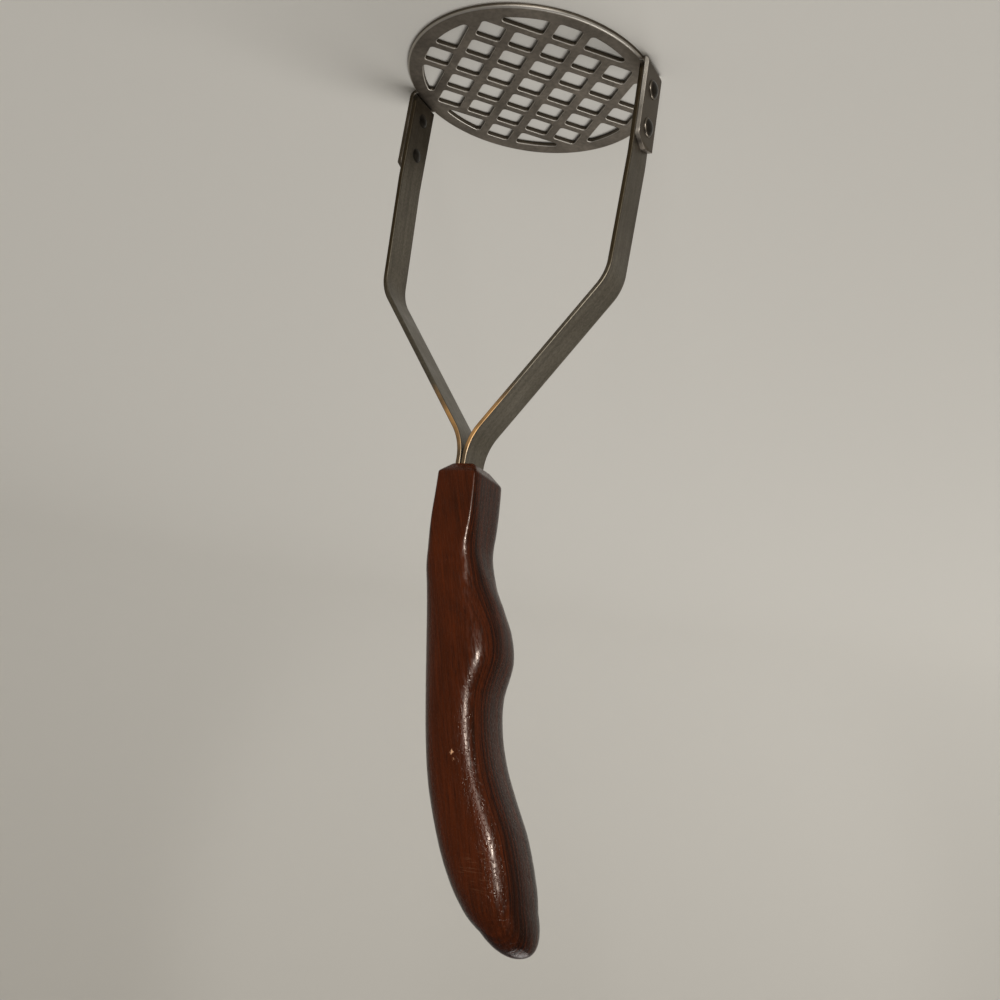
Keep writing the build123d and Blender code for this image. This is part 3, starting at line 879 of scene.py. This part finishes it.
def polished_laminated_hardwood(add, finishes):
    """Dyed hardwood veneers pressed with resin, shaped and polished: thin plies that show as fine
    lines along the sides and as wide soft figures on the flats, short dark pores along the grain, a
    deep gloss broken by a fine grain, and small dents, scratches and nicks from use."""
    place = add("TexCoord").outputs["Object"]
    # The veneers lie square to Y, wander a little, and their grain runs from the front end to the tip.
    grain = add("Mapping", {"Vector": place, "Rotation": (0, -np.radians(17), 0)})
    grain_x, grain_y, grain_z = add("SeparateXYZ", [grain]).outputs
    wander = add("TexNoise", {"Vector": grain, "Scale": 1 / (40 * MM), "Detail": 1.0})
    wandered = add("Math", [wander, 2 * MM, grain_y], operation="MULTIPLY_ADD")
    own = add("CombineXYZ", [grain_x, wandered, grain_z])
    cloud, wear, dents, ragged = (
        add("TexNoise", {"Vector": place, "Scale": 1 / (size * MM), "Detail": detail})
        for size, detail in ((28, 2.0), (4, 4.0), (0.9, 3.0), (0.5, 2.0))
    )
    ply = finishes.ply / MM
    layers, lines, fibres, pores, gloss, scratches = (
        add("TexNoise", {
            "Vector": add("Mapping", {"Vector": lie, "Scale": grain_scale(*sizes), **shift}),
            "Scale": 1.0, **noise,
        })
        for lie, sizes, shift, noise in (
            (own, (50, ply, 120), {}, {"Detail": 3.0, "Roughness": 0.65}),
            (own, (60, 1.3 * ply, 150), {"Location": (3.1, 5.7, 1.3)}, {"Detail": 2.0}),
            (own, (0.7, 1.6, 22), {}, {"Detail": 4.0, "Roughness": 0.6}),
            (own, (0.3, 0.4, 5), {}, {"Detail": 1.0}),
            # The grain in the gloss is drawn coarser than the real one, so that it shows.
            (grain, (0.5, 0.5, 3), {}, {"Detail": 2.0}),
            (place, (5, 1000, 0.3), {"Rotation": (0, 0.12, 0)}, {"Detail": 1.0}),
        )
    )

    # Seen edge on the plies are lines; where the surface lies along them they fade into one another.
    _, normal_y, _ = add("SeparateXYZ", [add("NewGeometry").outputs["Normal"]]).outputs
    across = add("Math", [normal_y], operation="ABSOLUTE")
    edge_on = add("MapRange", [across, 0.95, 0.55, 0.12, 1.0])
    layer = add("MapRange", [layers, 0.38, 0.6, -0.4, 0.4])
    plies = add("Math", [layer, edge_on], operation="MULTIPLY")
    # The sides, where the plies are seen edge on, are also painted darker as painted shade.
    mixed = -0.3
    for part, share in ((fibres, 1.3), (plies, 0.9), (edge_on, -0.32), (cloud, 0.6)):
        mixed = add("Math", [part, share, mixed], operation="MULTIPLY_ADD")
    # Glue lines follow the middle of their own noise, and grow thicker toward the tip.
    from_line = add("Math", [lines, 0.5], operation="SUBTRACT")
    from_line = add("Math", [from_line], operation="ABSOLUTE")
    nearer = add("MapRange", [grain_z, 200 * MM, 235 * MM, 1.0, 0.5])
    from_line = add("Math", [from_line, nearer], operation="MULTIPLY")
    line = add("MapRange", [from_line, 0.012, 0.045, 1.0, 0.0])
    pore = add("MapRange", [pores, 0.62, 0.72])
    dark = add("Math", [pore, 0.5, strongest(add, (line, edge_on, 0.8))], operation="MULTIPLY_ADD")

    # Faint scratches run across the grain near the tip.
    scratch = add("MapRange", [scratches, 0.6, 0.68, 0.0, 0.07])
    away = add("VectorMath", [place, (0.0290, 0.0100, 0.2470)], operation="DISTANCE")
    near = add("MapRange", [away, 4 * MM, 7 * MM, 1.0, 0.0])
    bared = [strongest(add, (scratch, near))]
    # Three nicks bare the pale wood: each is a spot whose ragged rim follows a fine noise.
    for spot, size in (
        ((0.0154, 0.0110, 0.2176), 1.1 * MM),
        ((0.0164, 0.0110, 0.2196), 0.8 * MM),
        ((0.0312, 0.0090, 0.2517), 0.9 * MM),
    ):
        away = add("VectorMath", [place, spot], operation="DISTANCE")
        away = add("Math", [ragged, 1.4 * size, away], operation="MULTIPLY_ADD")
        bared.append(add("MapRange", [away, 1.05 * size, 1.3 * size, 0.8, 0.0]))
    coats = [(mixed, finishes.wood_light), (dark, finishes.glue)]
    coats += [(share, finishes.bare_wood) for share in bared]

    # Shallow dents, thickest toward the tip, drawn about a millimetre apart so that they show.
    dent = add("MapRange", [dents, 0.52, 0.64])
    toward_tip = add("MapRange", [grain_z, 185 * MM, 215 * MM, 0.12, 1.0])
    dented = add("Math", [dent, toward_tip], operation="MULTIPLY")
    relief = 0.0
    for part, rise in ((dented, -2.4), (pore, -0.35), (wear, 0.5), (gloss, 0.8)):
        relief = add("Math", [part, rise, relief], operation="MULTIPLY_ADD")
    return {
        "Base Color": coated(add, (*finishes.wood_dark, 1), *coats),
        "Roughness": add("MapRange", [gloss, 0.35, 0.65, 0.13, 0.36]),
        "Normal": add("Bump", {"Strength": 0.4, "Distance": 0.05 * MM, "Height": relief}),
        "IOR": 1.5,
        "Specular IOR Level": 0.15,
        "Specular Tint": (*linear("#FFECDC"), 1.0),
    }


def seamless_paper(add, stage):
    """Seamless paper: even, matt and pale."""
    return {"Base Color": (*stage.floor, 1), "Roughness": 0.9, "Specular IOR Level": 0.2}


class MASHER_OT_plate(bpy.types.Operator):
    """Build the pressed plate with its holes and ears"""

    bl_idname = "masher.plate"
    bl_label = "Pressed Plate"

    def execute(self, context):
        scene = context.scene
        skin = plate_skin(scene.masher_plate, scene.masher_strap)
        steel = make_material(rolled_stainless_sheet, scene.masher_finishes)
        make_piece("pressed_plate", skin, steel, "mashing_plate", pierced=True)
        return {"FINISHED"}


class MASHER_OT_legs(bpy.types.Operator):
    """Build the two bent strap legs"""

    bl_idname = "masher.legs"
    bl_label = "Strap Legs"

    def execute(self, context):
        scene = context.scene
        right = leg_skin(scene.masher_strap)
        steel = make_material(brushed_stainless_strap, scene.masher_finishes)
        make_piece("strap_leg_right", right, steel, "right_leg")
        make_piece("strap_leg_left", right.mirrored(), steel, "left_leg")
        return {"FINISHED"}


class MASHER_OT_rivets(bpy.types.Operator):
    """Build the four rivets through the ears and legs"""

    bl_idname = "masher.rivets"
    bl_label = "Rivets"

    def execute(self, context):
        scene = context.scene
        rivet = scene.masher_rivet
        steel = make_material(headed_steel_rivet, scene.masher_finishes)
        for level, height in (("lower", rivet.lower_height), ("upper", rivet.lower_height + rivet.spacing)):
            right = rivet_skin(rivet, scene.masher_plate, scene.masher_strap, height)
            make_piece(f"headed_rivet_right_{level}", right, steel, f"rivet_right_{level}")
            make_piece(f"headed_rivet_left_{level}", right.mirrored(), steel, f"rivet_left_{level}")
        return {"FINISHED"}


class MASHER_OT_grip(bpy.types.Operator):
    """Build the sculpted wooden grip"""

    bl_idname = "masher.grip"
    bl_label = "Wooden Grip"

    def execute(self, context):
        scene = context.scene
        skin = grip_skin(scene.masher_grip, scene.masher_strap)
        wood = make_material(polished_laminated_hardwood, scene.masher_finishes)
        make_piece("sculpted_grip", skin, wood, "handle")
        return {"FINISHED"}


class MASHER_OT_stage(bpy.types.Operator):
    """Build the floor, the lamps, the even light and the camera"""

    bl_idname = "masher.stage"
    bl_label = "Stage"

    def execute(self, context):
        scene = context.scene
        stage = scene.masher_stage
        self.build_floor(stage)
        # The key lamp stands low beside the camera, in a hood that keeps it off the floor.
        self.hang_lamp(
            "key_lamp", "SPOT", (0.275, 0.633, 0.040), (0.018, 0.0, 0.145),
            energy=stage.key, shadow_soft_size=60 * MM, spot_size=np.radians(32.0), spot_blend=0.5,
        )
        self.hang_lamp(
            "fill_lamp", "AREA", (0.45, -0.90, 2.0), (0.0, 0.0, 0.1),
            energy=stage.fill, shape="DISK", size=1.6,
        )
        world = bpy.data.worlds.get("even_light") or bpy.data.worlds.new("even_light")
        world.use_nodes = True
        background = next(node for node in world.node_tree.nodes if node.type == "BACKGROUND")
        background.inputs["Color"].default_value = (1.0, 0.985, 0.96, 1.0)
        background.inputs["Strength"].default_value = stage.sky
        scene.world = world
        self.build_camera(scene)
        scene.view_settings.view_transform = "Standard"
        return {"FINISHED"}

    def build_floor(self, stage):
        """Round floor swept up into a wall: a profile of radius and height turned round Z."""
        columns = 128
        turn = np.linspace(0, np.pi / 2, 25)
        edge = stage.flat_radius + stage.sweep
        flat = [0.02, 0.1, 0.3, 0.7]
        rise = stage.sweep * (1 - np.cos(turn))
        radius = np.concatenate([flat, stage.flat_radius + stage.sweep * np.sin(turn), [edge]])
        height = np.concatenate([np.zeros(len(flat)), rise, [stage.sweep + stage.wall]])
        height -= stage.gap
        angle = np.linspace(0, 2 * np.pi, columns, endpoint=False)
        around = np.linspace(0, 1, columns + 1)
        ring, level = radius[:, None], height[:, None]
        grid = np.stack([ring * np.cos(angle), ring * np.sin(angle), level + 0 * angle], axis=-1)
        skin = Skin()
        rings = skin.add_grid(grid, radius, around)
        skin.add_pole(rings[0], (0, 0, height[0]), 0.0, around)
        put_skin("floor", skin, make_material(seamless_paper, stage))

    def hang_lamp(self, name, kind, place, target, **settings):
        """Lamp aimed at a point, unseen by the camera."""
        lamp = replace_object(name, bpy.data.lights.new(name, kind))
        for setting, value in settings.items():
            setattr(lamp.data, setting, value)
        lamp.location = place
        lamp.rotation_euler = (Vector(target) - Vector(place)).to_track_quat("-Z", "Y").to_euler()
        lamp.visible_camera = False

    def build_camera(self, scene):
        """Camera at the photograph's place, from its directions to the right and to the back."""
        place = (0.18102, 0.31347, 0.23063)
        back = Vector((0.4604, 0.8546, 0.2400)).normalized()
        up = back.cross(Vector((0.8874, -0.4359, -0.1500))).normalized()
        turn = Matrix((up.cross(back), up, back)).transposed().to_4x4()
        camera = replace_object("camera", bpy.data.cameras.new("camera"))
        camera.data.lens = 44.49
        camera.data.sensor_width = 36.0
        camera.data.clip_start = 0.01
        camera.matrix_world = Matrix.Translation(place) @ turn
        scene.camera = camera


class MASHER_PT_pieces(bpy.types.Panel):
    """Panel with one button for each piece and the sizes below"""

    bl_idname = "MASHER_PT_pieces"
    bl_label = "Potato Masher"
    bl_space_type = "VIEW_3D"
    bl_region_type = "UI"
    bl_category = "Masher"

    def draw(self, context):
        for operator in OPERATORS:
            self.layout.operator(operator.bl_idname)
        for group, kind in GROUPS.items():
            box = self.layout.box()
            box.label(text=kind.__doc__)
            for name in kind.__annotations__:
                box.prop(getattr(context.scene, group), name)


GROUPS = {
    "masher_plate": MasherPlateSizes,
    "masher_strap": MasherStrapSizes,
    "masher_rivet": MasherRivetSizes,
    "masher_grip": MasherGripSizes,
    "masher_finishes": MasherFinishes,
    "masher_stage": MasherStageSettings,
}
OPERATORS = (MASHER_OT_plate, MASHER_OT_legs, MASHER_OT_rivets, MASHER_OT_grip, MASHER_OT_stage)


def register():
    for group, kind in GROUPS.items():
        bpy.utils.register_class(kind)
        setattr(bpy.types.Scene, group, PointerProperty(type=kind))
    for kind in (*OPERATORS, MASHER_PT_pieces):
        bpy.utils.register_class(kind)


def unregister():
    for kind in (MASHER_PT_pieces, *reversed(OPERATORS)):
        bpy.utils.unregister_class(kind)
    for group, kind in reversed(GROUPS.items()):
        delattr(bpy.types.Scene, group)
        bpy.utils.unregister_class(kind)


def main():
    register()
    bpy.ops.masher.plate()
    bpy.ops.masher.legs()
    bpy.ops.masher.rivets()
    bpy.ops.masher.grip()
    bpy.ops.masher.stage()


if __name__ == "__main__":
    main()
